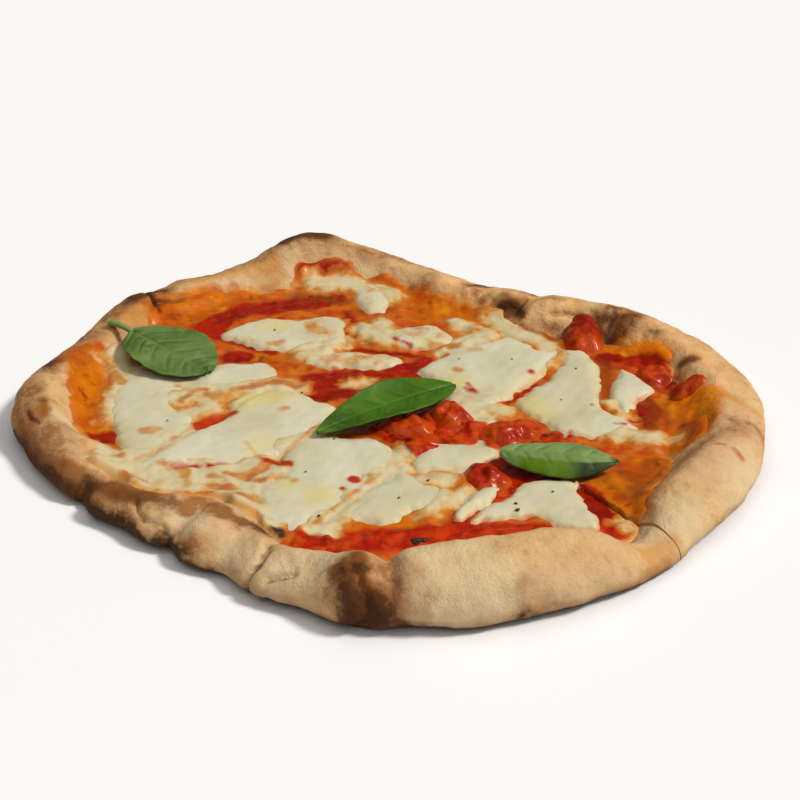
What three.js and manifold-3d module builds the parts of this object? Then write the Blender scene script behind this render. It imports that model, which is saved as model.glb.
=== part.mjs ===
// A margherita pizza about 300 mm across, in millimetres, +Z up, resting flat on its crust.
// The hand-stretched crust has an uneven raised rim, one open knife cut and three closed ones.
// Tomato sauce lies in the crust. Melted mozzarella, tomato pieces and basil lie on the sauce.
// The origin is under the middle, on the surface that the pizza rests on.
import * as THREE from "three";
import { mergeVertices } from "three/addons/utils/BufferGeometryUtils.js";
import Module from "manifold-3d";

const wasm = await Module();
wasm.setup();

// Thicknesses of the layers, and the air left between two pieces that touch
const DOUGH = 5;
const SAUCE = 1.6;
const CHEESE = 2.6;
const GAP = 0.35;
const LEAF = 0.7;

// The rim is an even ring, and swellings of the dough change its radius, width and height, and
// its lean, the share of the width that lies outside the crest. Each swelling has its place
// round the pizza in degrees, and the spread over which it fades.
const RIM = { radius: 138, width: 28, height: 13, lean: 0.48 };
const SWELLINGS = [
  { name: "front loaf", at: 285, spread: 27, radius: 11, width: 11, height: 12 },
  { name: "steep inside of the loaf", at: 301, spread: 8, width: -4 },
  { name: "east side", at: 345, spread: 47, radius: 13.5, width: 9, height: 6 },
  { name: "drawn-in back", at: 60, spread: 32, radius: -31, width: -1, height: -1 },
  { name: "back corner", at: 105, spread: 18, radius: 12.5, width: 6 },
  { name: "peak of the corner", at: 106, spread: 10, height: 8 },
  { name: "thin edge beside the corner", at: 119, spread: 11, radius: -7, width: -4 },
  { name: "north-west fold", at: 147, spread: 7, height: 3 },
  { name: "west side", at: 152, spread: 27, radius: 3 },
  { name: "thin west edge", at: 161, spread: 8, width: -4, height: -2 },
  { name: "west bump", at: 184, spread: 15, radius: 10.5, width: 2, height: 5 },
  { name: "upright side below the bump", at: 203, spread: 8, height: 1, lean: -0.22 },
  { name: "brown fold", at: 218, spread: 7, radius: -3, width: -7 },
  { name: "south-west loaf", at: 232, spread: 15, radius: -9.5, height: 1 },
  { name: "floury slope", at: 235, spread: 11, width: 13, lean: 0.05 },
  { name: "cracked bubble", at: 256, spread: 6, radius: -2, width: -3, height: -1 },
  { name: "charred knob", at: 267, spread: 4.5, radius: 4, width: -2, height: 5 },
  { name: "crease beside the knob", at: 271.3, spread: 2, height: -9 },
  { name: "valley at the open cut", at: 311, spread: 7, width: -17, height: -12 },
  { name: "first closed cut", at: 211.7, spread: 2.5, radius: -3, height: -7 },
  { name: "second closed cut", at: 232, spread: 2.5, radius: -2, height: -3 },
  { name: "third closed cut", at: 243.5, spread: 4.5, radius: -5, height: -3 },
  { name: "toasted bubble", at: 33, spread: 6, height: 2 },
  { name: "puffed end behind the tomato", at: 45, spread: 5, height: 3 },
  { name: "burst bubble", at: 57, spread: 5, height: 3 },
];

// The rim's outer edge stands at this share of its height, and curls in under itself
const EDGE_SHARE = 0.4;
const UNDERCUT = 9;
const SAUCE_CLIMB = 0.35; // how far up the rim's inner slope the sauce reaches

// The open cut runs straight out from under the east leaf, and its far side stands higher.
// Its line misses the middle by so much, towards the normal's angle. It opens outwards from its
// start, and the step in height grows over the ramp and fades out round the pizza.
const CUT = { normal: 37.4, aside: 17.9, from: 92, half: 0.3, flare: 0.018 };
const STEP = { height: 1.5, ramp: 12, fade: 11 };

// Melted mozzarella, each patch a few ovals run together: [x, y, half length, half width, turn]
const MOZZARELLA = {
  west: [[-93, -18, 27, 15, 90], [-92, 12, 14, 13, 0]],
  inner_west: [[-61, 19, 16, 10.5, 8]],
  middle: [[-43, -9, 20, 14, 170], [-56, -31, 21, 14, 35], [-79, -45, 16, 7, 30]],
  south: [[-18, -46, 18, 16, 150], [-26, -63, 17, 16, 0], [-36, -83, 12, 15, 150]],
  south_small: [[5, -74, 14, 9, 60], [-3, -83, 10, 7, 10], [15, -73, 8, 7, 0]],
  centre_small: [[25, -44, 14.5, 9.5, 12]],
  south_east: [[62, -75, 11, 13, 0], [47, -82, 14, 7, 30], [70, -88, 8, 6.5, 0]],
  strip: [[34.5, -76.5, 12, 4, 51]],
  north_east: [[37, 17, 20, 19, 0], [50, 33, 20, 16, 60], [38, 4, 10, 9, 0]],
  east: [[78, 20, 10, 20, 0], [71, -7, 17, 15, 150], [87, -21, 12, 8, 170]],
  far_east: [[96.5, 7, 16, 6.3, 88], [101, 4, 7, 6, 0]],
  north_west: [[-53, 54, 18, 12, 8], [-30, 57, 11, 14, 170]],
  north_middle: [[-15, 32.5, 21, 7, 178]],
  north: [[-8, 91, 7, 11, 10], [-4, 80, 6, 6, 0]],
  far_middle: [[13.5, 53, 15, 10.5, 170]],
};
const BLEND = 2.6; // how firmly the ovals of a patch hold their own outline

// Tomato pieces: place, half sizes in plan, turn, and height over the sauce
const TOMATOES = {
  middle: { at: [49, -27], half: [13, 9], turn: 12, height: 5.5 },
  under_leaf: { at: [8, -21], half: [12, 8], turn: 165, height: 5 },
  torn: { at: [26, -14], half: [10, 8], turn: 120, height: 6 },
  front: { at: [38, -59], half: [8, 10], turn: 30, height: 4.5 },
  on_the_rim: { at: [83, 50], half: [8, 11.5], turn: 10, height: 6 },
  east: { at: [109, 17], half: [7, 9], turn: 20, height: 5 },
  east_edge: { at: [121, 2], half: [6.5, 5.5], turn: 0, height: 3.5 },
};

// Basil: the stalk's end, the tip, the half width, where the belly is (1 is the middle, more is
// nearer the tip), how blunt the two ends are (less is blunter), how high the ends and the
// middle stand, how far the two sides rise, and how late the sides start to bend
const BASIL = {
  west: {
    stem: [-107.5, 46], tip: [-73, 15.5], half: 17, belly: 1.05, blunt: [0.48, 0.48],
    rise: [14, 13.5, 11], cup: [1.5, 2], fold: 2,
  },
  centre: {
    stem: [27, 2], tip: [-27, -33], half: 11.5, belly: 0.85, blunt: [0.5, 0.8],
    rise: [13.5, 15.5, 11.5], cup: [3, 1.5], fold: 2,
  },
  east: {
    stem: [43.5, -50], tip: [88, -57.5], half: 10.3, belly: 0.95, blunt: [0.55, 0.7],
    rise: [13.5, 17, 13.5], cup: [-5, -2], fold: 3.5,
  },
};
const STALK = { from: "west", length: 12, half: 1.5, drop: 0.5, side: [-0.85, 0.53] };

const radians = (turn) => (turn * Math.PI) / 180;
const degrees = (turn) => (turn * 180) / Math.PI;
const offBy = (angle, at) => ((angle - at + 540) % 360) - 180;
const ease = (t) => t * t * (3 - 2 * t);
const clamp = (t) => Math.min(1, Math.max(0, t));

// The rim's radius, width, height and lean at an angle, and the radius of its crest and foot
function rimAt(angle) {
  const rim = { ...RIM };
  for (const swelling of SWELLINGS) {
    const share = Math.exp(-((offBy(angle, swelling.at) / swelling.spread) ** 2));
    for (const key of Object.keys(rim)) rim[key] += share * (swelling[key] ?? 0);
  }
  const crest = rim.radius - rim.lean * rim.width;
  return { ...rim, crest, foot: rim.radius - rim.width };
}

// Angle of the open cut's line at a distance from the middle, and half the cut's width there
const cutAngle = (r) => (CUT.normal - degrees(Math.acos(Math.min(1, CUT.aside / r))) + 360) % 360;
const cutHalf = (r) => CUT.half + CUT.flare * Math.max(0, r - CUT.from);

// How much higher the far side of the open cut stands
function stepAt(angle, r) {
  const off = offBy(angle, cutAngle(r));
  if (off <= 0) return 0;
  return STEP.height * Math.exp(-((off / STEP.fade) ** 2)) * ease(clamp((r - CUT.from) / STEP.ramp + 1));
}

// Height of the dough's upper side at an angle and a distance from the middle
function doughTop(angle, r) {
  const { radius, height, crest, foot } = rimAt(angle);
  const edge = height * EDGE_SHARE;
  const step = stepAt(angle, r);
  if (r <= crest) return DOUGH + (height - DOUGH) * ease(clamp((r - foot) / (crest - foot))) + step;
  const outer = Math.sqrt(Math.max(0, 1 - ((r - crest) / (radius - crest)) ** 2));
  return edge + (height - edge) * outer + step;
}

// Columns of the crust and the sauce: the first and the last run along the open cut, just
// inside it, and the others share out the rest of the turn
const COLUMNS = 112;
function columnAngle(column, r) {
  const edge = degrees((0.7 * cutHalf(r)) / r);
  return cutAngle(r) + edge + ((360 - 2 * edge) * column) / (COLUMNS - 1);
}

// A closed solid from rings, each a function that gives [r, z] at an angle, between an upper
// and a lower centre. A column's angle depends on r and r on the angle, so both are settled
// in a few passes.
const PASSES = 3;
function ringSolid(rings, topZ, bottomZ) {
  const points = [0, 0, topZ];
  for (const ring of rings)
    for (let column = 0; column < COLUMNS; column++) {
      let angle = columnAngle(column, RIM.radius);
      for (let pass = 0; pass < PASSES; pass++) angle = columnAngle(column, ring(angle)[0]);
      const [r, z] = ring(angle);
      points.push(r * Math.cos(radians(angle)), r * Math.sin(radians(angle)), z);
    }
  points.push(0, 0, bottomZ);
  return manifoldFrom(points, ringFaces(rings.length, COLUMNS));
}

// Triangles that join a first point, rings of count points each, and a last point
function ringFaces(rings, count) {
  const faces = [];
  const last = 1 + rings * count;
  const at = (ring, i) => 1 + ring * count + (i % count);
  for (let i = 0; i < count; i++) {
    faces.push(0, at(0, i), at(0, i + 1));
    for (let ring = 0; ring + 1 < rings; ring++) {
      faces.push(at(ring, i), at(ring + 1, i), at(ring + 1, i + 1));
      faces.push(at(ring, i), at(ring + 1, i + 1), at(ring, i + 1));
    }
    faces.push(last, at(rings - 1, i + 1), at(rings - 1, i));
  }
  return faces;
}

function manifoldFrom(points, faces) {
  const mesh = new wasm.Mesh({
    numProp: 3,
    vertProperties: new Float32Array(points),
    triVerts: new Uint32Array(faces),
  });
  return new wasm.Manifold(mesh);
}

// A three.js geometry as a manifold solid
function manifoldOf(geometry) {
  geometry.deleteAttribute("normal");
  geometry.deleteAttribute("uv");
  const merged = mergeVertices(geometry, 1e-4);
  return manifoldFrom(merged.attributes.position.array, merged.index.array);
}

// Rows of the crust from the middle outwards, as shares of the floor and of the rim's parts
const FLOOR_ROWS = [0.58, 0.72, 1];
const RISE_ROWS = [SAUCE_CLIMB, 0.6, 0.8, 1];
const FALL_ROWS = [0.3, 0.55, 0.75, 0.9, 1];
const UNDER_ROWS = [0.35, 0.7, 1];

// Distances from the middle of the floor rows and of the rows up the inner slope
function innerRows(lastRise) {
  const rows = FLOOR_ROWS.map((share) => (angle) => share * rimAt(angle).foot);
  for (const share of RISE_ROWS.filter((row) => row <= lastRise))
    rows.push((angle) => {
      const { crest, foot } = rimAt(angle);
      return foot + share * (crest - foot);
    });
  return rows;
}

// The crust, or the same lifted by some air
function crustSolid(lift = 0) {
  const top = (angle, r) => [r, doughTop(angle, r) + lift];
  const rings = innerRows(1).map((row) => (angle) => top(angle, row(angle)));
  for (const share of FALL_ROWS)
    rings.push((angle) => {
      const { radius, crest } = rimAt(angle);
      return top(angle, crest + (radius - crest) * Math.sin((share * Math.PI) / 2));
    });
  for (const share of UNDER_ROWS)
    rings.push((angle) => {
      const { radius, height } = rimAt(angle);
      const turn = (share * Math.PI) / 2;
      const edge = height * EDGE_SHARE + stepAt(angle, radius);
      return [radius - UNDERCUT * (1 - Math.cos(turn)), edge * (1 - Math.sin(turn)) + lift];
    });
  return ringSolid(rings, DOUGH + lift, lift);
}

// The sauce fills the crust and thins out up the inner slope of the rim. With air round it,
// it is the room that nothing else may reach into.
function sauceSolid(air = 0) {
  const rows = innerRows(SAUCE_CLIMB);
  const thick = (i) => (i === rows.length - 1 ? 0.4 : 1) * SAUCE + GAP + air;
  const rings = rows.map((row, i) => (angle) => [row(angle), doughTop(angle, row(angle)) + thick(i)]);
  const lip = rings.at(-1);
  if (air > 0) rings.push((angle) => [lip(angle)[0] + air, lip(angle)[1]]);
  rings.push((angle) => [lip(angle)[0] + air, DOUGH / 2]);
  return ringSolid(rings, DOUGH + thick(0), DOUGH / 2);
}

// The knife: a wedge through everything along the open cut, to past the edge of the crust
const REACH = 200;
const KNIFE_DEPTH = 60;
function knifeSolid(air) {
  const at = (r) => new THREE.Vector2(r, 0).rotateAround(new THREE.Vector2(), radians(cutAngle(r)));
  const start = at(CUT.from);
  const end = at(REACH);
  const side = end.clone().sub(start).rotateAround(new THREE.Vector2(), Math.PI / 2).normalize();
  const corner = (from, r, way) => from.clone().addScaledVector(side, way * (cutHalf(r) + air));
  const shape = new THREE.Shape([
    corner(start, CUT.from, -1),
    corner(end, REACH, -1),
    corner(end, REACH, 1),
    corner(start, CUT.from, 1),
  ]);
  const block = new THREE.ExtrudeGeometry(shape, { depth: KNIFE_DEPTH, bevelEnabled: false });
  return manifoldOf(block.translate(0, 0, -KNIFE_DEPTH / 2));
}

// Height of what the toppings lie on at a place: sauce where there is sauce, or else dough
function groundAt(x, y) {
  const angle = (degrees(Math.atan2(y, x)) + 360) % 360;
  const r = Math.hypot(x, y);
  const { crest, foot } = rimAt(angle);
  const edge = foot + SAUCE_CLIMB * (crest - foot);
  const sauce = GAP + SAUCE * clamp((edge - r) / 3);
  return doughTop(angle, r) + sauce;
}

// How firmly a place lies in a group of ovals: over 1 inside, 1 on the outline
function inOvals(ovals, x, y) {
  let sum = 0;
  for (const [cx, cy, a, b, turn] of ovals) {
    const c = Math.cos(radians(turn));
    const s = Math.sin(radians(turn));
    const u = ((x - cx) * c + (y - cy) * s) / a;
    const v = ((y - cy) * c - (x - cx) * s) / b;
    sum += Math.exp(BLEND * (1 - u * u - v * v));
  }
  return sum;
}

// Distance from a centre to the outline of a group of ovals, in one direction
function reachOf(ovals, centre, turn) {
  const step = 0.5;
  let r = step;
  while (inOvals(ovals, centre[0] + r * Math.cos(turn), centre[1] + r * Math.sin(turn)) > 1) r += step;
  return r;
}

// A low dome on the ground: rings of the outline drawn in, from its edge to its middle
const DOME = [[0.35, 1], [0.65, 0.96], [0.86, 0.8], [1, 0.32]];
const SKIRT = 4; // how far a dome reaches down before the ground cuts it off
function domeSolid(centre, reach, height, sides, grow = 0) {
  const points = [];
  const put = (scale, lift, i) => {
    const turn = (i * 2 * Math.PI) / sides;
    const r = scale * (reach(turn) + grow);
    const x = centre[0] + r * Math.cos(turn);
    const y = centre[1] + r * Math.sin(turn);
    points.push(x, y, groundAt(x, y) + lift);
  };
  put(0, height + grow, 0);
  for (const [scale, share] of DOME)
    for (let i = 0; i < sides; i++) put(scale, height * share + grow, i);
  for (let i = 0; i < sides; i++) put(1, -SKIRT, i);
  put(0, -SKIRT, 0);
  return manifoldFrom(points, ringFaces(DOME.length + 1, sides));
}

// A patch of cheese: a dome over its ovals, from the middle of their areas
function mozzarellaSolid(ovals) {
  const sides = 30;
  const centre = [0, 0];
  const areas = ovals.map(([, , a, b]) => a * b);
  const total = areas.reduce((sum, area) => sum + area);
  ovals.forEach(([x, y], i) => {
    centre[0] += (x * areas[i]) / total;
    centre[1] += (y * areas[i]) / total;
  });
  return domeSolid(centre, (turn) => reachOf(ovals, centre, turn), CHEESE, sides);
}

// A torn piece of tomato: an oval dome with three soft lobes
function tomatoSolid({ at, half, turn, height }, grow = 0) {
  const sides = 22;
  const lobes = (t) => 1 + 0.07 * Math.cos(3 * t + at[0]);
  const reach = (t) => {
    const u = Math.cos(t - radians(turn)) / half[0];
    const v = Math.sin(t - radians(turn)) / half[1];
    return lobes(t) / Math.hypot(u, v);
  };
  return domeSolid(at, reach, height, sides, grow);
}

// A basil leaf: one wavy sheet whose two faces are split alike, thinner towards its edge
const LEAF_LENGTHS = 14;
const LEAF_WIDTHS = 8;
function leafPoint({ stem, tip, half, belly, blunt, rise, cup, fold }, u, v) {
  const along = new THREE.Vector2(tip[0] - stem[0], tip[1] - stem[1]);
  const across = new THREE.Vector2(-along.y, along.x).normalize();
  const end = blunt[0] + (blunt[1] - blunt[0]) * u;
  const width = half * Math.sin(Math.PI * u ** belly) ** end * v;
  const x = stem[0] + along.x * u + across.x * width;
  const y = stem[1] + along.y * u + across.y * width;
  const spine = rise[0] * (1 - u) ** 2 + 2 * rise[1] * u * (1 - u) + rise[2] * u * u;
  const side = (v < 0 ? cup[0] : cup[1]) * Math.abs(v) ** fold * Math.sin(Math.PI * u);
  const wave = 0.5 * Math.sin(14 * u + 2 * v) * v * v;
  return [x, y, spine + side + wave];
}

function leafSolid(leaf) {
  const points = [];
  const index = new Map();
  const add = (i, j, face) => {
    const atEnd = i === 0 || i === LEAF_LENGTHS;
    const key = atEnd ? `end ${i} ${face}` : `${i} ${j} ${face}`;
    if (!index.has(key)) {
      const v = atEnd ? 0 : (2 * j) / LEAF_WIDTHS - 1;
      const [x, y, z] = leafPoint(leaf, i / LEAF_LENGTHS, v);
      const thick = LEAF * (atEnd ? 0.5 : 1 - 0.45 * v * v);
      index.set(key, points.length / 3);
      points.push(x, y, z + (face ? thick / 2 : -thick / 2));
    }
    return index.get(key);
  };
  const faces = [];
  const triangle = (...corners) => {
    if (new Set(corners).size === 3) faces.push(...corners);
  };
  const quad = (a, b, c, d) => {
    triangle(a, b, c);
    triangle(a, c, d);
  };
  for (let i = 0; i < LEAF_LENGTHS; i++) {
    for (let j = 0; j < LEAF_WIDTHS; j++) {
      quad(add(i, j, 1), add(i + 1, j, 1), add(i + 1, j + 1, 1), add(i, j + 1, 1));
      quad(add(i, j, 0), add(i, j + 1, 0), add(i + 1, j + 1, 0), add(i + 1, j, 0));
    }
    quad(add(i, 0, 0), add(i + 1, 0, 0), add(i + 1, 0, 1), add(i, 0, 1));
    quad(add(i + 1, LEAF_WIDTHS, 0), add(i, LEAF_WIDTHS, 0), add(i, LEAF_WIDTHS, 1),
      add(i + 1, LEAF_WIDTHS, 1));
  }
  return manifoldFrom(points, faces);
}

// The stalk of the west leaf, a round rod that leaves the leaf's base and rests on the rim
function stalkSolid() {
  const { stem, rise } = BASIL[STALK.from];
  const start = new THREE.Vector3(stem[0] + 2, stem[1] - 1.5, rise[0]);
  const end = new THREE.Vector3(stem[0], stem[1], rise[0] + STALK.drop)
    .add(new THREE.Vector3(...STALK.side, 0).multiplyScalar(STALK.length));
  const line = new THREE.CatmullRomCurve3([start, end]);
  const section = new THREE.Shape().absarc(0, 0, STALK.half, 0, 2 * Math.PI);
  return manifoldOf(new THREE.ExtrudeGeometry(section, {
    steps: 4, curveSegments: 3, bevelEnabled: false, extrudePath: line,
  }));
}

// Colours and finish of each kind of piece
const FINISH = {
  crust: { color: 0xcba577, roughness: 0.85 },
  sauce: { color: 0xa5340c, roughness: 0.35 },
  mozzarella: { color: 0xd3cca8, roughness: 0.4 },
  tomato: { color: 0xa52306, roughness: 0.25 },
  basil: { color: 0x5f7f38, roughness: 0.5 },
};

const pizza = new THREE.Group();

function addPiece(name, kind, solid) {
  const mesh = solid.getMesh();
  const geometry = new THREE.BufferGeometry()
    .setAttribute("position", new THREE.BufferAttribute(mesh.vertProperties, 3))
    .setIndex(new THREE.BufferAttribute(mesh.triVerts, 1));
  const piece = new THREE.Mesh(geometry, new THREE.MeshStandardMaterial({ metalness: 0, ...FINISH[kind] }));
  piece.name = name;
  pizza.add(piece);
}

// Crust and sauce, both slit by the knife
const crust = crustSolid();
const clear = crustSolid(GAP);
const sauce = sauceSolid().subtract(clear);
addPiece("crust", "crust", crust.subtract(knifeSolid(0)));
addPiece("sauce", "sauce", sauce.subtract(knifeSolid(GAP)));

// What the toppings may not reach: crust and sauce with the air above them
const ground = clear.add(sauceSolid(GAP));

// Tomato pieces, and the room that the cheese leaves round them
let tomatoRoom = null;
for (const [place, tomato] of Object.entries(TOMATOES)) {
  addPiece(`tomato_${place}`, "tomato", tomatoSolid(tomato).subtract(ground));
  const room = tomatoSolid(tomato, 2 * GAP);
  tomatoRoom = tomatoRoom ? tomatoRoom.add(room) : room;
}
for (const [place, ovals] of Object.entries(MOZZARELLA)) {
  const patch = mozzarellaSolid(ovals).subtract(ground).subtract(tomatoRoom);
  addPiece(`mozzarella_${place}`, "mozzarella", patch);
}
for (const [place, leaf] of Object.entries(BASIL)) {
  const solid = leafSolid(leaf);
  addPiece(`basil_${place}`, "basil", place === STALK.from ? solid.add(stalkSolid()) : solid);
}

// The origin goes under the middle of the finished pizza
const box = new THREE.Box3().setFromObject(pizza);
const middle = box.getCenter(new THREE.Vector3());
pizza.position.set(-middle.x, -middle.y, -box.min.z);

export default pizza;
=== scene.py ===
import math

import bpy
import numpy as np
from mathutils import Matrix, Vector


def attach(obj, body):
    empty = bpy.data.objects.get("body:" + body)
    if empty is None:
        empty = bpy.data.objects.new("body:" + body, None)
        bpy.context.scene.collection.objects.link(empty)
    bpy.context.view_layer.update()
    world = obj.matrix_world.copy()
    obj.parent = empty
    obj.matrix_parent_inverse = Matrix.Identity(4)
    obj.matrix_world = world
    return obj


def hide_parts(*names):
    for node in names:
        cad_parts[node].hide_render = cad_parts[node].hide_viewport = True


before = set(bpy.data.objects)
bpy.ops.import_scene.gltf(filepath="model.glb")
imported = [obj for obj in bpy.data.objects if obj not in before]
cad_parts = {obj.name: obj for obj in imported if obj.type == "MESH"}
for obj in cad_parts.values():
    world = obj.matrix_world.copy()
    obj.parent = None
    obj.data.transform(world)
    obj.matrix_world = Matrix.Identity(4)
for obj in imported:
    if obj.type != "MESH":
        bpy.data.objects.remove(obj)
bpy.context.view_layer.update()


# Floor, light and view. The pizza lies on a plain pale floor. The main light is warm and comes
# from the right, and a broad panel overhead and a dim room fill in the shadows.
MM = 0.001
SEEN_FROM_ABOVE = math.radians(30)
SEEN_AT = Vector((5.1, 17.1, 0)) * MM
SEEN_FROM = 800 * MM
LENS = 87.75
FILM = 36
# Each light: strength, width in degrees, colour, degrees round from the right, degrees above the floor
LIGHTS = {
    "lamp": (2.5, 12, (1, 0.955, 0.88), -8, 50),
    "panel": (1.15, 95, (1, 0.975, 0.93), -60, 78),
}
ROOM = {"Color": (1, 0.97, 0.92, 1), "Strength": 0.1}
HALF_FLOOR = 12
FLOOR_BELOW = 0.2 * MM
FLOOR_PAINT = {"Base Color": (0.92, 0.94, 0.975, 1), "Roughness": 0.7}

scene = bpy.context.scene
scene.view_settings.view_transform = "Standard"

camera = bpy.data.objects.new("camera", bpy.data.cameras.new("camera"))
camera.data.lens = LENS
camera.data.sensor_width = FILM
view = Vector((0, math.cos(SEEN_FROM_ABOVE), -math.sin(SEEN_FROM_ABOVE)))
camera.location = SEEN_AT - view * SEEN_FROM
camera.rotation_euler = view.to_track_quat("-Z", "Y").to_euler()
scene.collection.objects.link(camera)
scene.camera = camera

for name, (strength, width, colour, round_from_right, above_floor) in LIGHTS.items():
    light = bpy.data.objects.new(name, bpy.data.lights.new(name, "SUN"))
    light.data.energy = strength
    light.data.angle = math.radians(width)
    light.data.color = colour
    turn, rise = math.radians(round_from_right), math.radians(above_floor)
    towards = Vector((math.cos(turn) * math.cos(rise), math.sin(turn) * math.cos(rise), math.sin(rise)))
    light.rotation_euler = towards.to_track_quat("Z", "Y").to_euler()
    scene.collection.objects.link(light)

scene.world = bpy.data.worlds.new("room")
scene.world.use_nodes = True
for socket, value in ROOM.items():
    scene.world.node_tree.nodes["Background"].inputs[socket].default_value = value

floor_mesh = bpy.data.meshes.new("floor")
corners = [(x * HALF_FLOOR, y * HALF_FLOOR) for x, y in ((-1, -1), (1, -1), (1, 1), (-1, 1))]
floor_mesh.from_pydata([(x, y, -FLOOR_BELOW) for x, y in corners], [], [(0, 1, 2, 3)])
floor = bpy.data.objects.new("floor", floor_mesh)
scene.collection.objects.link(floor)
floor_paint = bpy.data.materials.new("floor")
floor_paint.use_nodes = True
for socket, value in FLOOR_PAINT.items():
    floor_paint.node_tree.nodes["Principled BSDF"].inputs[socket].default_value = value
floor_mesh.materials.append(floor_paint)


# Crust. One disc of hand-stretched wheat dough, about 5 mm thick in the middle, with a raised and
# uneven rim that curls in under itself. It is baked on a hot stone: floury and tan, with brown
# blisters and a few burnt spots. One knife cut stays open at the front right.
PLAN = np.array([-0.394, 4.592])  # from the point that the dough was stretched from to the origin
DOUGH = 5
UNDERCUT = 9
EDGE_SHARE = 0.4
CRUST_COLUMNS = 1000
RIM = {"radius": 138, "width": 28, "height": 13, "lean": 0.48}
# Each swelling of the rim: its angle, its spread in degrees, and what it adds to the rim's sizes
SWELLINGS = {
    "front loaf": (285, 27, {"radius": 11, "width": 11, "height": 12}),
    "steep inside of the loaf": (301, 8, {"width": -4}),
    "east side": (345, 47, {"radius": 13.5, "width": 9, "height": 6}),
    "drawn-in back": (60, 32, {"radius": -31, "width": -1, "height": -1}),
    "back corner": (105, 18, {"radius": 12.5, "width": 6}),
    "peak of the corner": (106, 10, {"height": 8}),
    "thin edge beside the corner": (119, 11, {"radius": -7, "width": -4}),
    "north-west fold": (147, 7, {"height": 3}),
    "west side": (152, 27, {"radius": 3}),
    "thin west edge": (161, 8, {"width": -4, "height": -2}),
    "west bump": (184, 15, {"radius": 10.5, "width": 2, "height": 5}),
    "upright side below the bump": (203, 8, {"height": 1, "lean": -0.22}),
    "brown fold": (218, 7, {"radius": -3, "width": -7}),
    "south-west loaf": (232, 15, {"radius": -9.5, "height": 1}),
    "floury slope": (235, 11, {"width": 13, "lean": 0.05}),
    "cracked bubble": (256, 6, {"radius": -2, "width": -3, "height": -1}),
    "charred knob": (267, 4.5, {"radius": 4, "width": -2, "height": 5}),
    "crease beside the knob": (270.5, 2, {"height": -6}),
    "valley at the open cut": (311, 7, {"width": -17, "height": -12}),
    "first closed cut": (211.7, 2.5, {"radius": -3, "height": -7}),
    "second closed cut": (232, 2.5, {"radius": -2, "height": -3}),
    "third closed cut": (243.5, 4.5, {"radius": -5, "height": -3}),
    "toasted bubble": (33, 6, {"height": 2}),
    "puffed end behind the tomato": (45, 5, {"height": 3}),
    "burst bubble": (57, 5, {"height": 3}),
}
# The open cut is a straight line: angle of its normal, distance from the middle, where it starts and
# where it has closed again, half its width, how fast it widens and the share that still gapes
CUT = {"normal": 37.4, "aside": 17.9, "from": 92, "to": 150, "half": 0.3, "flare": 0.018, "gapes": 0.7}
# The dough beyond the cut stands higher: by how much, over what length the step rises, how many
# degrees it fades over, and where it has ended
STEP = {"height": 1.5, "ramp": 12, "fade": 11, "to": 140}


def ease(t):
    """From 0 to 1 as t goes from 0 to 1, with a soft start and end."""
    t = np.clip(t, 0, 1)
    return t * t * (3 - 2 * t)


def off_by(angle, at):
    """How many degrees an angle lies past another, between -180 and 180."""
    return (angle - at + 540) % 360 - 180


def round_middle(points):
    """Distance of points from the middle, and their angle round it."""
    x, y = points[..., 0], points[..., 1]
    return np.hypot(x, y), np.degrees(np.arctan2(y, x)) % 360


def rim_at(angle):
    """The rim's sizes at an angle, with the radius of its crest and of its foot."""
    rim = {size: np.full_like(angle, value, dtype=float) for size, value in RIM.items()}
    for at, spread, changes in SWELLINGS.values():
        share = np.exp(-((off_by(angle, at) / spread) ** 2))
        for size, change in changes.items():
            rim[size] += share * change
    rim["crest"] = rim["radius"] - rim["lean"] * rim["width"]
    rim["foot"] = rim["radius"] - rim["width"]
    return rim


def up_slope(rim, share):
    """A distance on the rim's inner slope, from 0 at its foot to 1 at its crest."""
    return rim["foot"] + share * (rim["crest"] - rim["foot"])


def cut_angle(r):
    """Angle of the open cut's straight line at a distance from the middle, steady well inside its start."""
    return (CUT["normal"] - np.degrees(np.arccos(CUT["aside"] / np.maximum(r, 40)))) % 360


def cut_half(r):
    """Half the width of the open cut, which gapes most where it leaves the sauce."""
    return CUT["half"] + CUT["flare"] * np.maximum(0, r - CUT["from"]) * ease((CUT["to"] - r) / 30)


def step_at(angle, r):
    """How much higher the dough stands on the far side of the open cut."""
    off = off_by(angle, cut_angle(r))
    rise = STEP["height"] * np.exp(-((off / STEP["fade"]) ** 2)) * ease((r - CUT["from"]) / STEP["ramp"] + 1)
    return np.where(off > 0, rise * ease((STEP["to"] - r) / 25), 0)


def dough_top(angle, r):
    """Height of the dough's upper side."""
    rim = rim_at(angle)
    edge = rim["height"] * EDGE_SHARE
    inner = DOUGH + (rim["height"] - DOUGH) * ease((r - rim["foot"]) / (rim["crest"] - rim["foot"]))
    out = np.clip((r - rim["crest"]) / (rim["radius"] - rim["crest"]), 0, 1)
    outer = edge + (rim["height"] - edge) * np.sqrt(1 - out ** 2)
    return np.where(r <= rim["crest"], inner, outer) + step_at(angle, r)


def ring_points(rings, columns):
    """Points of rings, each a function from angles to distances and heights. The columns run
    round from one side of the open cut to the other."""
    rows = []
    for ring in rings:
        r = np.full(columns, RIM["radius"], float)
        # The cut's angle and the ring's distance depend on each other, and settle in a few rounds
        for _ in range(4):
            edge = np.degrees(CUT["gapes"] * cut_half(r) / np.maximum(r, 1))
            angle = cut_angle(r) + edge + (360 - 2 * edge) * np.arange(columns) / (columns - 1)
            r, z = ring(angle % 360)
        turn = np.radians(angle)
        rows.append(np.stack([r * np.cos(turn), r * np.sin(turn), z], -1))
    return np.array(rows)


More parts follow.
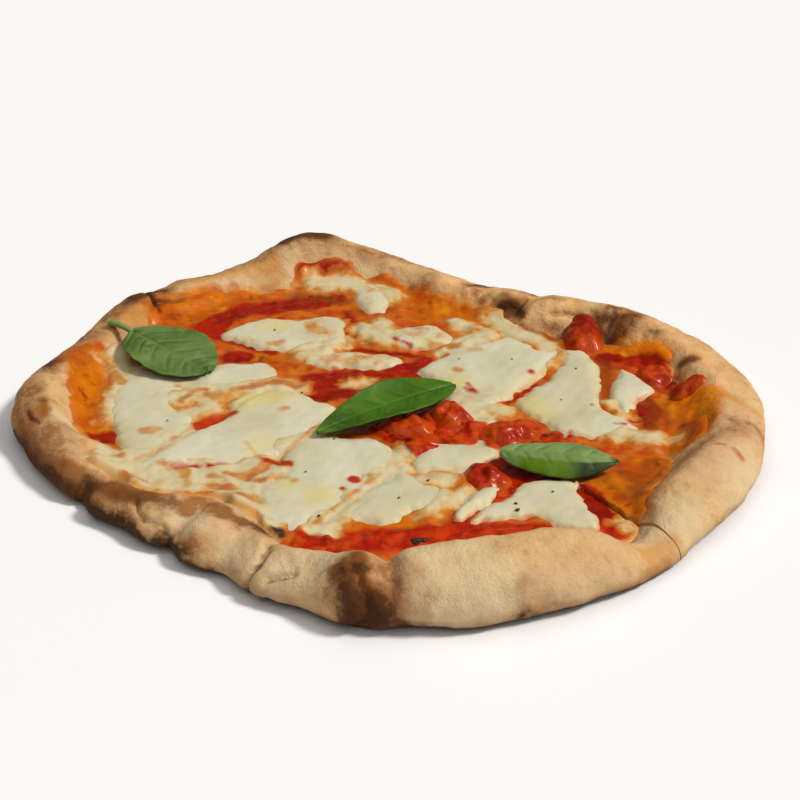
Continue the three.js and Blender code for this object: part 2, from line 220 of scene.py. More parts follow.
def sheet_faces(rows, columns, closed=False):
    """Four-sided faces between points in rows, whose ends are joined into rings if closed."""
    index = np.arange(rows * columns).reshape(rows, columns)
    if closed:
        index = np.column_stack([index, index[:, 0]])
    return np.stack([index[:-1, :-1], index[1:, :-1], index[1:, 1:], index[:-1, 1:]], -1).reshape(-1, 4)


def ring_faces(points):
    """Four-sided faces between rings, joined across the seam inside the start of the cut."""
    count, columns = points.shape[:2]
    whole = round_middle(points[:, 0])[0] < CUT["from"]
    first = np.flatnonzero(whole[:-1] & whole[1:]) * columns
    seam = np.stack([first + columns - 1, first + 2 * columns - 1, first + columns, first], -1)
    return [*sheet_faces(count, columns), *seam]


def waves(points, length, seed, count=20):
    """Smooth unevenness, mostly within -1 and 1, whose bumps repeat after about a length in mm."""
    rng = np.random.default_rng(seed)
    way = rng.normal(size=(count, points.shape[-1]))
    way *= (2 * math.pi / length * rng.uniform(0.6, 1.5, count) / np.linalg.norm(way, axis=1))[:, None]
    return 0.6 * np.sin(points @ way.T + rng.uniform(0, 2 * math.pi, count)).sum(-1) / math.sqrt(count / 2)


def off_line(points, start, end):
    """Distance of points in plan from the straight line between two others."""
    x, y = points[..., 0] - start[0], points[..., 1] - start[1]
    run_x, run_y = end[0] - start[0], end[1] - start[1]
    t = np.clip((x * run_x + y * run_y) / max(run_x ** 2 + run_y ** 2, 1e-9), 0, 1)
    return np.hypot(x - t * run_x, y - t * run_y)


def brush(points, strokes):
    """How far in mm each point lies inside the nearest stroke, and no less than -12. A stroke is a
    half width and the points of its line in plan."""
    inside = np.full(points.shape[:-1], -12.0)
    for half, *line in strokes:
        for start, end in zip(line, line[1:] or line):
            inside = np.maximum(inside, half - off_line(points, start, end))
    return inside


# Cracks and folds of the rim: depth, half width, line
CRACKS = {
    "across the cracked bubble": (1.6, 1.2, (-40, -130), (-31, -131)),
    "fold of the brown side": (1.2, 1.0, (-91, -83), (-90, -88), (-87, -92), (-82, -95)),
    "slot in the south-west loaf": (2.0, 1.1, (-80, -95), (-78, -99), (-77, -104)),
    "first arm of the burnt crack": (3.0, 1.1, (-106, 83), (-102, 76), (-98, 69)),
    "second arm of the burnt crack": (2.4, 0.9, (-101, 74), (-94, 77), (-88, 81)),
    "on the west bump": (1.8, 0.8, (-140, -24), (-138, -28), (-135, -31)),
    "at the first closed cut": (1.6, 1.2, (-117, -70), (-112, -66)),
    "under the charred knob": (3.2, 2.2, (-9, -145), (-5, -150), (-1, -153)),
    "burst top of the knob": (2.2, 2.0, (-9, -141), (-7, -142)),
    "low on the front": (1.0, 0.7, (3, -153), (10, -153.5)),
    "east rim": (0.8, 0.8, (134, -28), (139, -30), (144, -30)),
    "beside the burnt bubble": (1.6, 1.0, (94, 55), (99, 58), (106, 57)),
    "behind the tomato": (1.4, 0.9, (70, 66), (76, 65), (83, 62)),
    "burst bubble": (2.0, 1.6, (48, 74), (53, 73), (58, 69)),
    "second arm of the burst bubble": (1.4, 1.0, (55, 71), (60, 75)),
    "seam of the cracked bubble": (2.4, 1.5, (-49, -127), (-44, -124), (-41, -117), (-40, -110)),
}
# Blisters of the rim: height, radius, place
BLISTERS = {
    "burst": (1.4, 6, (53, 74)),
    "burnt": (2.0, 7, (102, 50)),
    "burnt behind": (1.2, 5, (96, 60)),
    "toasted on the east side": (1.4, 6, (124, 13)),
    "north": (1.2, 5, (36, 86)),
    "north side": (0.9, 5, (22, 100)),
    "north-west": (1.4, 6, (-107, 78)),
    "west": (1.2, 7, (-139, -24)),
    "west above": (1.2, 6, (-140, 0)),
    "far west": (1.0, 7, (-130, 30)),
    "south-west": (1.4, 9, (-104, -78)),
    "south-west loaf": (1.2, 10, (-66, -106)),
    "front": (1.0, 9, (30, -147)),
    "front right": (1.0, 11, (84, -120)),
    "east": (1.2, 12, (128, -68)),
    "back": (1.2, 7, (-40, 142)),
}
# Unevenness of the rim: how much, length of its bumps, draw
UNEVEN = ((0.55, 34, 1), (0.35, 15, 2), (0.14, 6, 3))


def relief(points, strength):
    """How far the dough stands out from its plain shape."""
    out = strength * sum(much * waves(points, length, draw) for much, length, draw in UNEVEN)
    for height, radius, at in BLISTERS.values():
        far = np.hypot(points[..., 0] - at[0], points[..., 1] - at[1]) / radius
        out += strength * height * np.exp(-far ** 2)
    for depth, half, *line in CRACKS.values():
        far = brush(points, [(0, *line)])
        out -= depth * np.exp(-(far / half) ** 2) * ease(1.5 * strength)
    return out


def on_dough(reach):
    """A ring of points on the dough's upper side, as far out as reach tells from the rim's sizes."""
    def ring(angle):
        r = reach(rim_at(angle))
        return r, dough_top(angle, r)
    return ring


def floor_row(share):
    """A ring on the dough inside the rim."""
    return on_dough(lambda rim: share * rim["foot"])


def rise_row(share):
    """A ring on the rim's inner slope."""
    return on_dough(lambda rim: up_slope(rim, share))


def fall_row(share):
    """A ring on the rim's outer side, down from its crest."""
    out = math.sin(share * math.pi / 2)
    return on_dough(lambda rim: rim["crest"] + (rim["radius"] - rim["crest"]) * out)


def under_row(share):
    """A ring on the edge that curls in under the rim."""
    def ring(angle):
        rim = rim_at(angle)
        turn = share * math.pi / 2
        edge = rim["height"] * EDGE_SHARE + step_at(angle, rim["radius"])
        return rim["radius"] - UNDERCUT * (1 - math.cos(turn)), edge * (1 - math.sin(turn))
    return ring


def base_row(share):
    """A ring on the flat underside."""
    def ring(angle):
        r = share * (rim_at(angle)["radius"] - UNDERCUT)
        return r, np.zeros_like(r)
    return ring


crust_rings = (
    [floor_row(share) for share in (0.01, 0.3, 0.55, 0.72, 0.82, 0.88, 0.93, 0.97)]
    + [rise_row(share) for share in np.linspace(0, 1, 25)]
    + [fall_row(share) for share in np.linspace(0, 1, 26)[1:]]
    + [under_row(share) for share in np.linspace(0, 1, 9)[1:]]
    + [base_row(share) for share in (0.96, 0.88, 0.75, 0.5, 0.01)]
)
crust_points = ring_points(crust_rings, CRUST_COLUMNS)
crust_r, crust_angle = round_middle(crust_points)
normals = np.cross(np.gradient(crust_points, axis=0), np.gradient(crust_points, axis=1))
normals /= np.maximum(np.linalg.norm(normals, axis=-1), 1e-9)[..., None]
on_rim = ease((crust_r - rim_at(crust_angle)["foot"] + 5) / 9) * ease(crust_points[..., 2] / 4)
crust_points = crust_points + normals * relief(crust_points, on_rim)[..., None]

# What the heat and the oil have left on the dough and the sauce, as strokes: half width and line
ORANGE = [
    (8, (-125, 22), (-121, 8), (-118, -8), (-114, -20)), (5, (-131, 20), (-127, 30), (-122, 20)),
    (3, (-127, 32), (-120, 37)), (9, (-97, 68), (-88, 77), (-76, 84), (-66, 88)),
    (5, (-5, 104), (5, 97), (15, 91)), (6, (11, 91), (23, 83), (32, 76), (43, 67)),
    (5, (14, 74), (30, 70)), (5, (116, 28), (110, 35), (100, 40)),
    (9, (117, -2), (124, -15), (121, -26), (117, -36)), (8, (80, -57), (88, -64), (88, -80), (92, -74)),
    (8, (97, -62), (100, -50)), (3, (89, -76), (93, -86)), (5, (-90, 80), (-82, 87), (-72, 90)),
    (4, (-16, -94), (-8, -91)), (3, (4, -90), (13, -91)), (0.8, (56, 8), (64, 18), (70, 30)),
    (4, (-56, 36), (-46, 36)), (4, (24, -66), (36, -58)), (3, (94, 43), (99, 45)),
    (3.5, (-66, 1), (-63, -3)), (5, (-37, 112), (-28, 113), (-18, 111)),
]
RED = [
    (6, (-77, 62), (-70, 72), (-60, 80), (-46, 83), (-34, 86), (-24, 90)),
    (2.5, (-74, 60), (-68, 53), (-56, 44), (-48, 40)), (5, (-78, 62), (-72, 57)),
    (5, (-64, 36), (-60, 36)), (12, (-28, 10), (-16, 14), (2, 12), (10, 20)), (4, (10, 26), (19, 35)),
    (2.2, (-16, 44), (-5, 41), (8, 38), (20, 35)), (3, (-18, 70), (-18, 58), (-17, 47)),
    (4, (-38, 113), (-30, 114), (-22, 113)), (3, (-18, 77), (-16, 68), (-15, 60)),
    (8, (-27, -104), (-8, -101), (10, -99), (28, -97), (56, -97)), (6, (73, -72), (79, -84), (86, -95)),
    (4, (38, -66), (28, -84), (26, -94)), (9, (26, -30), (44, -40), (60, -34), (58, -56), (40, -58)),
    (1.2, (48, -3), (54, 4), (60, 12)), (2.4, (-73, -24), (-66, -21), (-60, -17)),
    (5, (-112, -30), (-105, -29)), (2.5, (-106, -14), (-105, -4), (-106, 6)),
    (1.8, (-78, -51), (-71, -51)), (1.8, (-64, -49), (-58, -48)),
    (2.2, (-52, -32), (-46, -41), (-38, -47)), (6, (92, 34), (102, 30), (112, 20), (116, 8)),
    (5, (101, 4), (105, -8), (101, -18)), (2, (99, -10), (92, -7)), (2, (99, -17), (92, -17)),
    (2.6, (121, -56), (127, -56)), (3.4, (131, -58), (133, -60)), (3, (-134, -18), (-133, -27)),
]
MILK = [
    (6, (-31, 104), (-20, 104), (-12, 99), (0, 92)), (11, (-114, -46), (-101, -54), (-88, -60)),
    (11, (-82, -62), (-66, -60), (-54, -66), (-50, -78)), (7, (-98, -46), (-86, -34), (-78, -26)),
    (7, (-76, -52), (-60, -54), (-48, -50)), (7, (-26, -24), (-36, -35), (-43, -42)),
    (7, (-42, -52), (-48, -62), (-46, -76), (-40, -90)), (7, (2, -54), (-8, -70), (-20, -86), (-26, -96)),
    (6, (-118, 42), (-111, 34), (-108, 22)), (9, (-100, 18), (-82, 16), (-74, 10)),
    (7, (-84, 0), (-74, 2)), (6, (-74, 8), (-56, 8), (-40, 10)), (6, (-78, -12), (-72, -8)),
    (5, (4, -46), (10, -40), (16, -36)), (6, (34, -8), (36, -20), (38, -34)),
    (4, (28, 0), (36, -6), (46, -10)), (5, (-34, 36), (-28, 41)), (4.5, (86, -25), (96, -28), (106, -31)),
    (2.5, (111, -32)), (3, (92, -10), (96, -18)), (5, (46, 68), (51, 62), (57, 55)),
    (5, (68, 44), (58, 54)), (5, (26, 40), (34, 46), (42, 54)), (5, (0, 56), (-2, 64)),
    (4, (-28, -97), (-22, -96)), (1.2, (85, -88), (90, -93)), (2.5, (68, 29), (73, 38)),
    (5, (-44, 60), (-24, 66)), (2, (-16, 13), (-9, 15)), (4, (14, -62), (24, -60)),
    (3, (30, -68), (24, -78)), (6, (-106, 14), (-108, 0), (-106, -14)), (4, (22, -72), (16, -82)),
    (4, (-36, 41), (-26, 45), (-20, 51)), (5, (-11, 61), (-5, 54), (1, 48)),
    (4, (90, -4), (94, -13), (92, -20)), (3, (30, 66), (38, 60)),
]
BROWN = [
    (3, (60, 61), (68, 55), (76, 45), (73, 58)), (3, (91, 30), (90, 14), (90, 2)),
    (2.5, (101, -46), (97, -58), (93, -68)), (2, (82, -62), (88, -74)),
    (2, (90, -56), (94, -64), (94, -74)), (3, (-40, 92), (-30, 91), (-19, 87)),
    (3, (104, 2), (107, -10), (104, -22)), (1, (115, 4), (111, -10), (111, -22)),
    (2.5, (-12, 78), (0, 80)), (4, (-114, -67), (-104, -74), (-97, -77), (-91, -80), (-86, -82)),
    (3.5, (-86, -82), (-80, -85), (-73, -86), (-68, -81), (-63, -85), (-58, -93), (-52, -97)),
    (3, (97, 50), (104, 58)), (2, (92, 58), (96, 64)), (2.5, (-120, -58), (-114, -62)),
    # In the next line the charred knob's crevice and the lower west flank are painted dark: partly char,
    # partly painted shade of the hollow and of the flank turned from the light
    (6, (-12, -139), (-8, -146), (-3, -151)), (4.5, (-142, -34), (-134, -52), (-122, -68)),
    (2, (-134, -18), (-133, -26)), (1.2, (121, 18), (125, 15)), (2, (38, 85), (41, 80)),
]
TOASTED = [
    (8, (-143, -8), (-142, -26), (-137, -42)), (12, (-134, -42), (-126, -62), (-112, -82), (-98, -96)),
    (9, (-108, -70), (-98, -76), (-88, -78)),
    (4, (-66, 112), (-56, 120), (-44, 129), (-32, 130), (-22, 126)),
    (5, (-118, 62), (-106, 74), (-96, 86)), (5, (-138, 14), (-134, 34), (-126, 50)),
    (5, (104, 54), (98, 50), (90, 56)), (-2, (126, 15), (121, 12)), (1, (58, 74), (48, 74)),
    (3, (50, -147), (54, -147)), (2.5, (10, -151), (14, -152)), (4, (-8, -146), (0, -150)),
    (4.5, (1, -134), (5, -146), (6, -152)), (1, (-8, -134), (-2, -134)),
    (2, (112, -60), (124, -48), (138, -40)), (2, (-100, 84), (-84, 100), (-66, 110), (-52, 117)),
    (3.5, (-30, 124), (-22, 124), (-12, 122), (-2, 119)), (2, (-14, 125), (2, 121), (22, 112)),
    (5, (-108, -76), (-100, -86), (-92, -92)), (4, (-80, -98), (-76, -104), (-64, -110)),
]
BURNT = [
    (4.5, (-46, 125), (-38, 128), (-30, 127)), (4, (-58, 132), (-44, 142), (-34, 140)),
    (2.5, (-112, 76), (-106, 84), (-98, 86)), (0.5, (-105, 81), (-102, 76), (-98, 69)),
    (0.5, (-101, 74), (-94, 77), (-89, 81)), (2.2, (50, 74), (56, 71)), (0, (110, 44), (114, 42)),
    (0, (101, 54), (107, 52)), (1, (95, 54), (98, 60)), (1, (103, 49), (106, 55)), (0.2, (133, -36)),
    (0.2, (140, -35), (144, -36)), (1.5, (37, 94), (42, 94)), (0.5, (60, 82), (64, 82)),
    (0.5, (69, 73), (73, 72)), (2, (-138, 10), (-136, 18)), (3, (-116, -70), (-111, -65)),
    (4.5, (-12, -147), (-5, -150), (0, -151)), (2.5, (-112, 72), (-107, 75)),
    (0.8, (-15, -136), (-13, -142)), (0.8, (-10, -140), (-6, -141)), (2.6, (-44, -98), (-38, -97)),
    # The lower west flank is painted nearly black: partly char, partly painted shade of the flank turned
    # from the light
    (3, (-142, -36), (-134, -52), (-123, -68)), (-0.5, (-140, -24), (-137, -30)),
]
FLOURY = [
    (11, (20, -146), (36, -143)), (9, (132, -84), (142, -62)), (6, (-56, -110), (-46, -116)),
    (6, (-76, -92), (-70, -100)), (9, (-36, -126), (-24, -130)), (7, (12, -134), (30, -132)),
    (7, (100, -104), (110, -94)), (5, (-128, -30), (-124, -42)), (5, (64, -146), (80, -136)),
    (6, (6, -142), (12, -149)), (6, (-76, 100), (-68, 102)),
    (5, (-44, 111), (-30, 114), (-12, 111), (-2, 107)), (3, (-124, -26), (-124, -38), (-120, -50)),
]
# Rosy places on the rim's inner slopes: partly the pinkish tone where oil has soaked in, partly painted
# light, lighter paint on slopes turned away from the lamp
ROSY_PAINTED_LIGHT = [
    (8, (62, 74), (80, 64)), (10, (112, 42), (120, 32), (125, 22), (127, 4), (125, -12)),
    (6, (30, 94), (46, 84)),
]
# Pinkish tan places, where the flour has burnt off
TANNED = [
    (9, (8, -118), (40, -112), (74, -112), (92, -106)), (10, (118, -74), (128, -52), (134, -34)),
    (4, (50, -142), (86, -126)), (9, (-66, -90), (-52, -98), (-36, -104)),
]
# Ochre and light brown marks of oil on the dough, the film and the cheese
OCHRE = [
    (1.1, (-54, -37), (-50, -43), (-47, -48)), (2.6, (-53, -60), (-47, -54), (-41, -46)),
    (2.2, (-60, -58), (-52, -61)), (3.2, (-65, -66), (-58, -68)), (2.2, (-76, -55), (-74, -66)),
    (1.8, (-66, -59), (-62, -61)), (1.4, (-47, -63), (-43, -60), (-38, -60), (-34, -64)),
    (2.4, (-53, -75), (-46, -77)), (2.0, (-94, -28), (-90, -26)), (1.6, (-42, -12), (-39, -10)),
    (0.8, (-39, -43), (-34, -34), (-27, -22)), (0.6, (-96, -48), (-90, -44), (-83, -36), (-77, -24)),
    (1.6, (-82, -4), (-79, 4), (-73, 6)), (1.6, (-79, -7), (-75, -7)), (3.2, (-71, 2), (-64, 0)),
    (2.4, (-62, 5), (-51, 11), (-36, 13)), (4, (-45, 27), (-39, 22), (-32, 22)), (2.4, (20, 43), (29, 43)),
    (1.8, (35, 38), (39, 39)), (1.6, (-104, -47), (-101, -45)), (1.2, (-105, -36), (-103, -34)),
    (0.7, (-2, -58), (-18, -80), (-27, -94)), (1.6, (-99, -59), (-92, -62)),
    (2.5, (130, -14), (138, -20), (146, -24)), (4, (-84, 97), (-60, 108)), (1.4, (29, 22), (31, 21)),
    (2.4, (-52, 101), (-47, 108)), (1.5, (-50, 44), (-44, 46)), (2.0, (-34, 62), (-28, 55)),
    (2.0, (70, 32), (73, 37)), (1.5, (-86, -50), (-80, -53)), (2.4, (110, -32)),
    (2, (-112, 20), (-108, 12)), (2, (-20, 30), (-10, 32)), (4, (92, -114), (98, -110), (103, -106)),
    (4, (-112, 58), (-106, 64)), (3, (-62, 106), (-52, 111)),
]
FIELDS = {
    "orange": ORANGE, "red": RED, "milk": MILK, "brown": BROWN, "toasted": TOASTED, "burnt": BURNT,
    "floury": FLOURY, "tanned": TANNED, "rosy_painted_light": ROSY_PAINTED_LIGHT, "ochre": OCHRE,
}


def piece_from(name, points, faces, fields, material):
    """A piece from points in plan mm, its faces, and the values of its fields at the points."""
    flat = points.reshape(-1, 3)
    placed = np.column_stack([flat[:, :2] + PLAN, flat[:, 2]]) * MM
    mesh = bpy.data.meshes.new(name)
    mesh.from_pydata(placed.tolist(), [], [list(face) for face in faces])
    mesh.polygons.foreach_set("use_smooth", [True] * len(mesh.polygons))
    for field, values in fields.items():
        layer = mesh.attributes.new(field, "FLOAT", "POINT")
        layer.data.foreach_set("value", np.ravel(values).astype(np.float32))
    mesh.materials.append(material)
    piece = bpy.data.objects.new(name, mesh)
    scene.collection.objects.link(piece)
    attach(piece, "root")
    return piece


def linear(colour):
    """A colour of three numbers up to 255, as a shader wants it."""
    return (*(((v / 255 + 0.055) / 1.055) ** 2.4 if v > 10 else v / 3294.6 for v in colour), 1)


class Dye:
    """An output of a material's nodes. Arithmetic on it adds Math nodes."""

    def __init__(self, tree, socket=None):
        self.tree = tree
        self.socket = socket

    def feed(self, node, inputs):
        """Links a node's sockets to other nodes, or sets their values."""
        for key, value in inputs.items():
            if isinstance(value, Dye):
                self.tree.links.new(value.socket, node.inputs[key])
            else:
                node.inputs[key].default_value = value

    def node(self, kind, settings, inputs, out=0):
        made = self.tree.nodes.new("ShaderNode" + kind)
        for name, value in settings.items():
            setattr(made, name, value)
        self.feed(made, inputs)
        return Dye(self.tree, made.outputs[out])

    def math(self, operation, *values, clamp=False):
        return self.node("Math", {"operation": operation, "use_clamp": clamp}, dict(enumerate(values)))

    def __add__(self, other):
        return self.math("ADD", self, other)

    def __radd__(self, other):
        return self.math("ADD", other, self)

    def __sub__(self, other):
        return self.math("SUBTRACT", self, other)

    def __rsub__(self, other):
        return self.math("SUBTRACT", other, self)

    def __mul__(self, other):
        return self.math("MULTIPLY", self, other)

    def __rmul__(self, other):
        return self.math("MULTIPLY", other, self)

    def __truediv__(self, other):
        return self.math("DIVIDE", self, other)

    def within(self):
        """The same, held between 0 and 1."""
        return self.math("ADD", self, 0, clamp=True)

    def field(self, name):
        return self.node("Attribute", {"attribute_name": name}, {}, "Fac")

    def noise(self, size, detail=3.0, rough=0.55):
        """Noise from -0.5 to 0.5 with bumps about a size across in mm."""
        place = self.node("TexCoord", {}, {}, "Object")
        inputs = {"Vector": place, "Scale": 0.5 / (size * MM), "Detail": detail, "Roughness": rough}
        return self.node("TexNoise", {}, inputs) - 0.5

    def mask(self, soft):
        """Turns mm inside a stroke into 0 to 1 over a soft edge."""
        return (self / soft + 0.5).within()

    def mix(self, under, over):
        """One colour over another, by this mask held between 0 and 1. A plain colour is three
        numbers up to 255."""
        under, over = (paint if isinstance(paint, Dye) else linear(paint) for paint in (under, over))
        settings = {"data_type": "RGBA", "clamp_factor": True}
        return self.node("Mix", settings, {0: self, 6: under, 7: over}, 2)


def finish_of(name, colour_of):
    """A material whose colour, roughness and height in mm come from a function of its nodes,
    which may also give constant values for the shader's own sockets."""
    material = bpy.data.materials.new(name)
    material.use_nodes = True
    dye = Dye(material.node_tree)
    colour, roughness, height, sockets = colour_of(dye)
    bump = dye.node("Bump", {}, {"Height": height, "Distance": MM, "Strength": 1.0})
    shader = dye.tree.nodes["Principled BSDF"]
    dye.feed(shader, {"Base Color": colour, "Roughness": roughness, "Normal": bump, **sockets})
    return material


def coated(colour, *coats):
    """A colour under coats of paint. Each coat is a mask and its paint."""
    for mask, paint in coats:
        colour = mask.mix(colour, paint)
    return colour


def crust_colour(dye):
    cloud = dye.noise(14, 3)
    blot = dye.noise(5, 4)
    fleck = dye.noise(2.2, 4, 0.7)
    grain = dye.noise(0.9, 3, 0.7)
    height = dye.field("height")
    # Painted light: inner slopes turned away from the lamp are painted lighter and rosier
    rosy_painted_light = (dye.field("rosy_painted_light") + cloud * 14).mask(8)
    toasted = (dye.field("toasted") + cloud * 14 + blot * 14 + grain * 5).mask(8)
    orange = (dye.field("orange") + cloud * 10 + blot * 9).mask(4)
    oily = (blot * 5 + 0.5).mix((204, 118, 8), (178, 82, 2))
    brown = (dye.field("brown") + blot * 10 + fleck * 8).mask(4)
    crumb = ((height - 5) / 3).mix((170, 84, 28), (206, 164, 112))
    char = dye.field("burnt") + blot * 7 + fleck * 8
    colour = coated(
        (cloud * 3.3 + 0.5).mix((212, 174, 122), (198, 154, 104)),
        ((blot * 4 + 0.1).within() * 0.6, (176, 124, 78)),
        (((fleck - 0.04) * 8).within() * 0.4, (150, 98, 58)),
        (((fleck + 0.06) * -8).within() * 0.35, (224, 200, 162)),
        ((dye.field("tanned") + cloud * 20 + grain * 10).mask(12) * 0.65, (206, 168, 130)),
        ((dye.field("floury") + cloud * 18 + grain * 12).mask(12) * 0.7, (218, 198, 158)),
        (rosy_painted_light * 0.85, (blot * 4 + 0.5).mix((238, 192, 138), (222, 168, 112))),
        (toasted * 0.85, (fleck * 7 + 0.4).mix((140, 84, 40), (176, 126, 80))),
        # Oil on those slopes is painted a brighter orange, also as painted light
        (orange, (rosy_painted_light * 0.9).mix(oily, (248, 146, 8))),
        ((dye.field("red") - 2 + blot * 6).mask(2) * 0.7, (172, 56, 14)),
        ((dye.field("ochre") + blot * 8).mask(3) * 0.6, (196, 136, 62)),
        (brown * 0.85, (cloud * 4 + 0.5).mix((96, 52, 18), (146, 86, 28))),
        # Darker low on the side and along the bottom: partly browning where it rested on the stone, partly
        # painted shade of the underside that curls in
        (((8.5 - height) / 6 + blot * 1.4).within() * 0.75, (146, 96, 54)),
        (((3.8 - height + toasted * 7) / 3 + blot).within() * 0.9, (52, 30, 18)),
        # Painted shade in the cracks and folds, darker the deeper they are
        (dye.field("crack") - 0.35 + fleck * 2, (70, 42, 24)),
        # The faces of the open cut: dark low down, partly the baked base and partly painted shade deep in
        # the narrow gap, then crumb
        (dye.field("inside"), ((height - 1) / 4).mix((60, 32, 14), crumb)),
        ((char + 2.5).mask(5) * 0.6, (126, 76, 40)),
        (char.mask(3) * 0.8, (58, 32, 14)),
    )
    dust = grain * 0.5 + dye.noise(0.35, 2) * 0.25 + blot * 0.45 + fleck * 0.35
    return colour, (0.88 - orange * 0.4).within(), dust, {
        "Specular IOR Level": 0.2,
        "Specular Tint": (1, 0.9, 0.75, 1),
    }


crust_finish = finish_of("crust", crust_colour)
# The two faces of the open cut have points of their own, so that their edges stay sharp
opened = np.flatnonzero(crust_r[:, 0] >= CUT["from"])
whole = crust_points.reshape(-1, 3)
all_points = np.concatenate([whole, crust_points[opened, 0], crust_points[opened, -1]])
near, far = len(whole) + np.arange(2 * len(opened)).reshape(2, -1)
first, last = opened[0] * CRUST_COLUMNS, opened[-1] * CRUST_COLUMNS
crust_faces = [
    *ring_faces(crust_points),
    near[::-1],
    far,
    (first, first + CRUST_COLUMNS - 1, last + CRUST_COLUMNS - 1, last),
    range(CRUST_COLUMNS),
    reversed(range(len(whole) - CRUST_COLUMNS, len(whole))),
]
crust_fields = {field: brush(all_points, strokes) for field, strokes in FIELDS.items()}
crust_fields["height"] = all_points[:, 2]
# Painted shade in the cracks, stronger where they are deeper
crust_fields["crack"] = np.maximum.reduce([
    np.exp(-(brush(all_points, [(0, *line)]) / (0.8 * half)) ** 2) * min(1, depth / 1.8)
    for depth, half, *line in CRACKS.values()
])
crust_fields["inside"] = np.arange(len(all_points)) >= len(whole)
crust_piece = piece_from("crust_baked", all_points, crust_faces, crust_fields, crust_finish)
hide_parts("crust")


# Sauce. Crushed tomatoes, cooked down and oily, lie in the crust and run out thin up its inner
# slope. Between the cheese they have taken up melted cheese as a pale mottled film.
SAUCE = 1.6
AIR = 0.35  # between the dough and the sauce
SAUCE_CLIMB = 0.35
THIN_CLIMB = 0.85
SAUCE_ROWS = 118
SAUCE_COLUMNS = 600


def sauce_reach(angle):
    """Where the even sauce ends on the rim's inner slope."""
    return up_slope(rim_at(angle), SAUCE_CLIMB)


def ground(points):
    """Height of the sauce's even upper side."""
    r, angle = round_middle(points)
    return dough_top(angle, r) + AIR + SAUCE * ease((sauce_reach(angle) - r) / 4 + 0.5)


def sauce_row(share):
    """A ring of the sauce, out to where it runs thin."""
    return on_dough(lambda rim: share * up_slope(rim, THIN_CLIMB))


# The closed knife cuts show as shallow creases through sauce and cheese
CREASES = [
    (0, (-113, -75), (-44, 12)), (0, (-80, -102), (-28, -28), (52, 74)),
    (0, (-46, -125), (-22, -90), (10, -47), (47, -4), (70, 32)),
]
# Places where crushed tomato stands out of the sauce in lumps
PULP = [
    (9, (4, -24), (20, -16), (30, -26), (14, -36)), (8, (44, -32), (58, -34), (68, -30)),
    (6, (34, -58), (44, -68)), (5, (98, 28), (108, 22), (116, 8)), (4, (86, 46), (84, 58)),
    (5, (-30, -101), (-14, -104)),
]
# Red and orange drops and streaks on the cheese and on the film between
DROPS = [
    (2.6, (-12, -63)), (1.0, (-6, -60)), (1.2, (-16, -69)), (3.2, (-73, -21), (-68, -17), (-62, -13)),
    (1.8, (-79, -53), (-72, -51)), (1.4, (-67, -51), (-61, -50)), (2.4, (-44, -48), (-38, -51)),
    (0.6, (-98, -60), (-90, -64)), (1.2, (32, 7), (36, 3), (33, 10)), (1.4, (59, 20)), (0.8, (82, -7)),
    (0.8, (72, -27)), (1.0, (-22, 26), (-17, 24)), (1.0, (4, 49), (10, 44)), (0.8, (96, -16), (102, -18)),
    (1.0, (94, -22), (90, -22)),
]
sauce_points = ring_points([sauce_row(share) for share in np.linspace(0.004, 1, SAUCE_ROWS)], SAUCE_COLUMNS)
plan = sauce_points[..., :2]
sauce_fields = {
    field: brush(sauce_points, FIELDS[field])
    for field in ("orange", "red", "milk", "brown", "burnt", "ochre", "rosy_painted_light")
}
sauce_r, sauce_angle = round_middle(plan)
edge = sauce_reach(sauce_angle) - sauce_r
wet = np.clip(np.maximum.reduce([sauce_fields[field] for field in ("red", "orange", "milk")]), -6, 4)
ragged = edge + 2.5 * waves(plan, 22, 11) + 1.1 * waves(plan, 8, 12) + 0.9 * wet
ragged = np.minimum(ragged, 1.5 * (sauce_r[-1] - sauce_r) - 7)
lumpy = ease((sauce_fields["red"] + 3) / 6)
film = ease((sauce_fields["milk"] + 1.2 * waves(plan, 12, 16)) / 7 + 0.6) * (1 - lumpy)
pulp = ease((brush(plan, PULP) + 1.5 * waves(plan, 9, 17) + 2) / 5)
creased = np.exp(-(brush(plan, CREASES) / 1.2) ** 2)
sauce_points[..., 2] = (
    dough_top(sauce_angle, sauce_r)
    + (SAUCE + AIR) * ease(ragged / 9 + 0.6) - 0.5 * ease(0.5 - ragged / 6)
    + (0.3 * waves(plan, 15, 13) + 0.2 * waves(plan, 6.5, 14) * (1 + lumpy)) * ease(ragged / 6 + 0.7)
    + 1.9 * film * ease(ragged / 6 + 0.5) - 0.3 * creased - 4 * ease(-ragged / 6 - 0.4)
    + pulp * (0.8 + 0.7 * waves(plan, 9, 18) + 0.3 * waves(plan, 4, 19))
)
sauce_fields["edge"] = ragged
sauce_fields["pulp"] = 4 * pulp - 2
sauce_fields["milk"] = np.minimum(sauce_fields["milk"], 5)
sauce_fields["drop"] = brush(plan, DROPS)
sauce_fields["bright"] = ease((-84 - plan[..., 1]) / 12)


